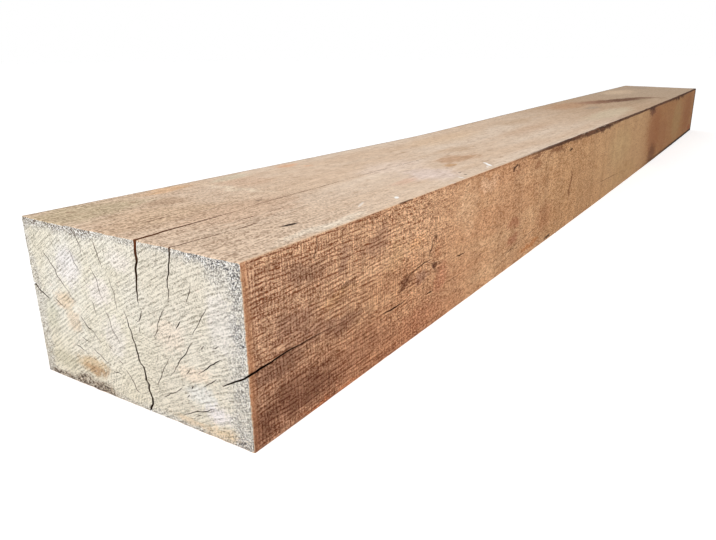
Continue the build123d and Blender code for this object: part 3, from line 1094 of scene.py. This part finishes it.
def side_material():
    """Weathered long side: woven saw marks over brown stains at the near end, smoother beyond."""
    g = Graph("oak_sawn_side")
    along, up = g.along, g.up
    near, mid, distant = along.rise(440, 230), along.rise(1500, 700), along.rise(800, 1500)
    stretched = along.rise(60, 260)
    broad = stretch(g.noise((300, 60, 34), detail=3, shift=2))
    sway = g.noise((60, 9, 30), shift=14) - 0.5
    weft = (up + sway * 9).wave(3.7).rise(0.42, 0.03)
    warp = (along + (g.noise((20, 9, 60), shift=12) - 0.5) * 8).wave(3.5).rise(0.42, 0.03)
    kept = stretch(g.noise((14, 9, 2.4), roughness=0.6, shift=52), 0.2)
    dots = g.cells(along / 0.9, up / 0.55) * (1 - stretched) + g.cells(along / 1.8, up / 0.7, 70) * stretched
    dashes = g.cells(along / 14, (up + sway * 5) / 1.2, 50) * (1 - stretched * 0.7)
    dashes = dashes + g.cells(along / 2.6, up / 1.5, 90) * (stretched * 0.7)
    breaks = g.noise((2.8, 9, 1.2), roughness=0.75, shift=4)
    rows = g.noise((70, 9, 1.5), roughness=0.6, shift=6)
    columns = g.noise((2.0, 9, 26), roughness=0.6, shift=8)
    mottle = g.cells(along / 3.6, up / 1.2, 30)
    fleck = g.noise((44, 9, 8), detail=4, roughness=0.75, shift=44)
    coarse = g.noise((26, 9, 16), detail=3, roughness=0.6, shift=22)
    colour = g.lay(
        g.mix(broad, srgb(213, 163, 122), srgb(220, 177, 136)),
        (near * up.rise(20, 130), 220, 174, 136),
        (near * up.rise(100, 0) * 0.9, 188, 132, 98),
        (along.rise(200, 0) * 0.60, 181, 139, 113),
        (along.rise(460, 800) * 0.8, 203, 158, 113),
        (along.rise(800, 1200) * 0.7, 206, 168, 124),
        (along.rise(1350, 1700), 180, 132, 88),
    )
    ragged = stretch(g.noise((7, 9, 2.6), detail=4, roughness=0.75, shift=33), 0.2)
    colour = paint(g, colour, "side", SIDE_STAINS, g.warped((22, 1, 14), (34, 34, 22)), ragged)
    bands = stretch(g.noise((30, 9, 260), detail=3, roughness=0.65, shift=46)) - 0.5
    bands = bands * along.rise(300, 420) * along.rise(1700, 900) + 0.5
    colour = g.toned(colour, bands, (0.92, 0.91, 0.90), (1.08, 1.08, 1.08))
    plain = (along - coarse * 12).rise(4, -4)
    colour = g.mix(plain * 0.6, colour, g.mix(up.rise(60, 10), srgb(184, 130, 92), srgb(158, 108, 78)))
    # Painted shade: a dark band along the bottom edge of the far part, where the beam meets the floor, and a
    # dark band across the side's far end, both on the -Y side only
    foot = (up - coarse * 7).rise(7, 2) * along.rise(1300, 2050)
    foot = foot.most(along.rise(LENGTH - 34, LENGTH - 14) * 0.75)
    under_arris = below_top(g).rise(4.0, 2.0) * along.rise(60, 240) * along.rise(680, 480)
    colour = g.lay(colour, (foot * g.y.rise(60, -60), 50, 34, 26), (under_arris * 0.35, 170, 110, 74))
    busy = near * (1 - plain * 0.5)
    threads = (weft * kept * 0.30 + warp * (1 - kept) * 0.20) * (1 - stretched * 0.45)
    tone = stretch(breaks) * 0.08 + dots * 0.60 + dashes * 0.24 + stretch(rows, 0.12) * 0.08 - threads
    tone = (tone.rise(0.19, 0.68) - 0.5) * busy + 0.5
    colour = g.toned(colour, tone, (0.33, 0.17, 0.11), (1.42, 1.56, 1.62))
    posts = stretch(columns, 0.2) * near + (1 - near) * 0.5
    colour = g.toned(colour, posts, (0.82, 0.80, 0.78), (1.15, 1.15, 1.15))
    spread = (1 - near) * (mid * 0.8 + 0.2)
    freckles = stretch(mottle, 0.30) * (1 - distant) * 0.80 + stretch(fleck, 0.14) * distant * 0.80
    freckles = (freckles + stretch(coarse) * 0.20 - 0.5) * spread + 0.5
    colour = g.toned(colour, freckles, (0.68, 0.60, 0.53), (1.27, 1.33, 1.40))
    pin = g.noise((7, 9, 5), roughness=0.7, shift=41).rise(0.30, 0.22) * spread
    fringe = (along - g.noise((4, 2.4, 2.4), detail=3, roughness=0.8, shift=18) * 3.0).rise(-0.9, -1.4)
    colour = g.lay(colour, (pin * 0.7, 86, 52, 36), (fringe * 0.8, 188, 166, 142))
    colour = wane_colour(g, colour, behind_side(g, 1))
    height = tone * busy * 0.45 + stretch(mottle) * spread * 0.25 + stretch(columns) * 0.08
    return g.finish(colour, height, breaks * 0.15 + 0.7, 0.06)


def wall_material():
    """Inside of the splits: the wood's own dark brown with painted shade, darker deep in than at the mouth,
    which is browner on the long faces.
    """
    g = Graph("oak_split_wall")
    grain = g.noise((12, 1.2, 1.2), detail=3)
    side_gap = g.y + (WIDTH / 2 - END_SHIFT)
    # Painted shade: dark inside, and lighter within 4 mm of the near end, the top and the -Y side
    colour = g.lay(
        g.mix(grain, srgb(36, 26, 20), srgb(64, 46, 36)),
        (g.along.rise(4, 0) * 0.35, 78, 58, 40),
        (g.blob((0, -19, 158), (60, 12, 30), core=0.3) * 0.6, 140, 76, 42),
        (below_top(g).rise(4, 0) * 0.7, 108, 66, 42),
        (side_gap.rise(4, 0) * 0.4, 96, 56, 38),
    )
    return g.finish(colour, grain * 0.2, grain * 0.1 + 0.8, 0.03)


# Stage, light and camera

FLOOR_SIZE = 120.0
FLOOR_TONE = 0.80
FLOOR_GLOW = 0.44
SKY_LIGHT = 0.50
WHITE = (1, 1, 1, 1)


def seen_by(tree, first_ray, second_ray):
    """One for two kinds of ray and zero for every other."""
    rays = tree.nodes.new("ShaderNodeLightPath").outputs
    seen = add_node(tree, "ShaderNodeMath", [rays[first_ray], rays[second_ray]], operation="MAXIMUM")
    return seen.outputs[0]


def floor_material():
    """White floor that keeps the shadow: part of its white is a glow that lights nothing else."""
    material = bpy.data.materials.new("floor_white")
    material.use_nodes = True
    tree = material.node_tree
    seen = seen_by(tree, "Is Camera Ray", "Is Glossy Ray")
    glow = add_node(tree, "ShaderNodeMath", [seen, FLOOR_GLOW], operation="MULTIPLY")
    feed(tree, tree.nodes["Principled BSDF"],
         {"Base Color": (FLOOR_TONE, FLOOR_TONE, FLOOR_TONE, 1), "Roughness": 0.9, "Specular IOR Level": 0.0,
          "Emission Color": WHITE, "Emission Strength": glow.outputs[0]})
    return material


def make_stage():
    bpy.ops.mesh.primitive_plane_add(size=FLOOR_SIZE, location=(0, 0, 0))
    floor = bpy.context.object
    floor.name = "floor"
    floor.data.materials.append(floor_material())


def make_world():
    """Even white light all round, and plain white where the camera or glass looks."""
    world = bpy.data.worlds.new("studio")
    bpy.context.scene.world = world
    world.use_nodes = True
    tree = world.node_tree
    seen = seen_by(tree, "Is Camera Ray", "Is Transmission Ray")
    level = add_node(tree, "ShaderNodeMix", {"Factor": seen, "A": SKY_LIGHT, "B": 1.0})
    feed(tree, tree.nodes["Background"], {"Color": WHITE, "Strength": level.outputs["Result"]})


def lamp(name, kind, energy, toward, place=(0, 0, 0), **settings):
    """A soft lamp that shines back along a direction, which points from the beam towards it."""
    data = bpy.data.lights.new(name, kind)
    data.energy = energy
    for key, value in settings.items():
        setattr(data, key, value)
    made = bpy.data.objects.new(name, data)
    made.location = place
    made.rotation_euler = Vector(toward).to_track_quat("Z", "Y").to_euler()
    bpy.context.scene.collection.objects.link(made)


SOFTBOX_PLACE = Vector((-3.1, -1.75, 1.75))
SOFTBOX_AIM = Vector((-1.1, -0.05, 0.08))

# Camera, fitted to the corners of the beam in the photograph
IMAGE = (716, 540)
IMAGE_MIDDLE = (373.2, 266.3)
FOCAL_PIXELS = 633.6
SENSOR = 36.0
CAMERA_PLACE = (-1.54498, -0.41916, 0.28051)
CAMERA_RIGHT = (0.53147175, -0.8470306, -0.00877221)
CAMERA_UP = (0.26974462, 0.15941711, 0.94964416)
CAMERA_BACK = (-0.80297922, -0.50707529, 0.31320764)


def make_camera():
    data = bpy.data.cameras.new("camera")
    data.sensor_width = SENSOR
    data.lens = SENSOR * FOCAL_PIXELS / IMAGE[0]
    data.shift_x = (IMAGE[0] / 2 - IMAGE_MIDDLE[0]) / IMAGE[0]
    data.shift_y = (IMAGE_MIDDLE[1] - IMAGE[1] / 2) / IMAGE[0]
    data.clip_start = 0.02
    data.clip_end = 200
    camera = bpy.data.objects.new("camera", data)
    turn = Matrix((CAMERA_RIGHT, CAMERA_UP, CAMERA_BACK)).transposed()
    camera.matrix_world = Matrix.Translation(CAMERA_PLACE) @ turn.to_4x4()
    bpy.context.scene.collection.objects.link(camera)
    bpy.context.scene.camera = camera


# Making the scene

SHARP_ANGLE = radians(42)

make_camera()
make_world()
make_stage()
lamp("key", "SUN", 0.75, (-0.62, -0.30, 0.72), angle=radians(30))
lamp("back_fill", "SUN", 0.45, (0.55, 0.75, 0.45), angle=radians(60))
# The near lamp falls off along the beam, as the light in the photograph does
lamp("softbox", "AREA", 62, SOFTBOX_PLACE - SOFTBOX_AIM, SOFTBOX_PLACE, size=2.2)

timber = build_timber()
for material in (end_material("oak_end_grain", PITH_NEAR, True), top_material(), side_material(),
                 wall_material(), end_material("oak_far_end", PITH_FAR, False)):
    timber.data.materials.append(material)
cut_splits(timber)
timber.data.polygons.foreach_set("use_smooth", [True] * len(timber.data.polygons))
timber.data.set_sharp_from_angle(angle=SHARP_ANGLE)
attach(timber, "root")
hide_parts("oak_beam")

bpy.context.scene.view_settings.view_transform = "Standard"
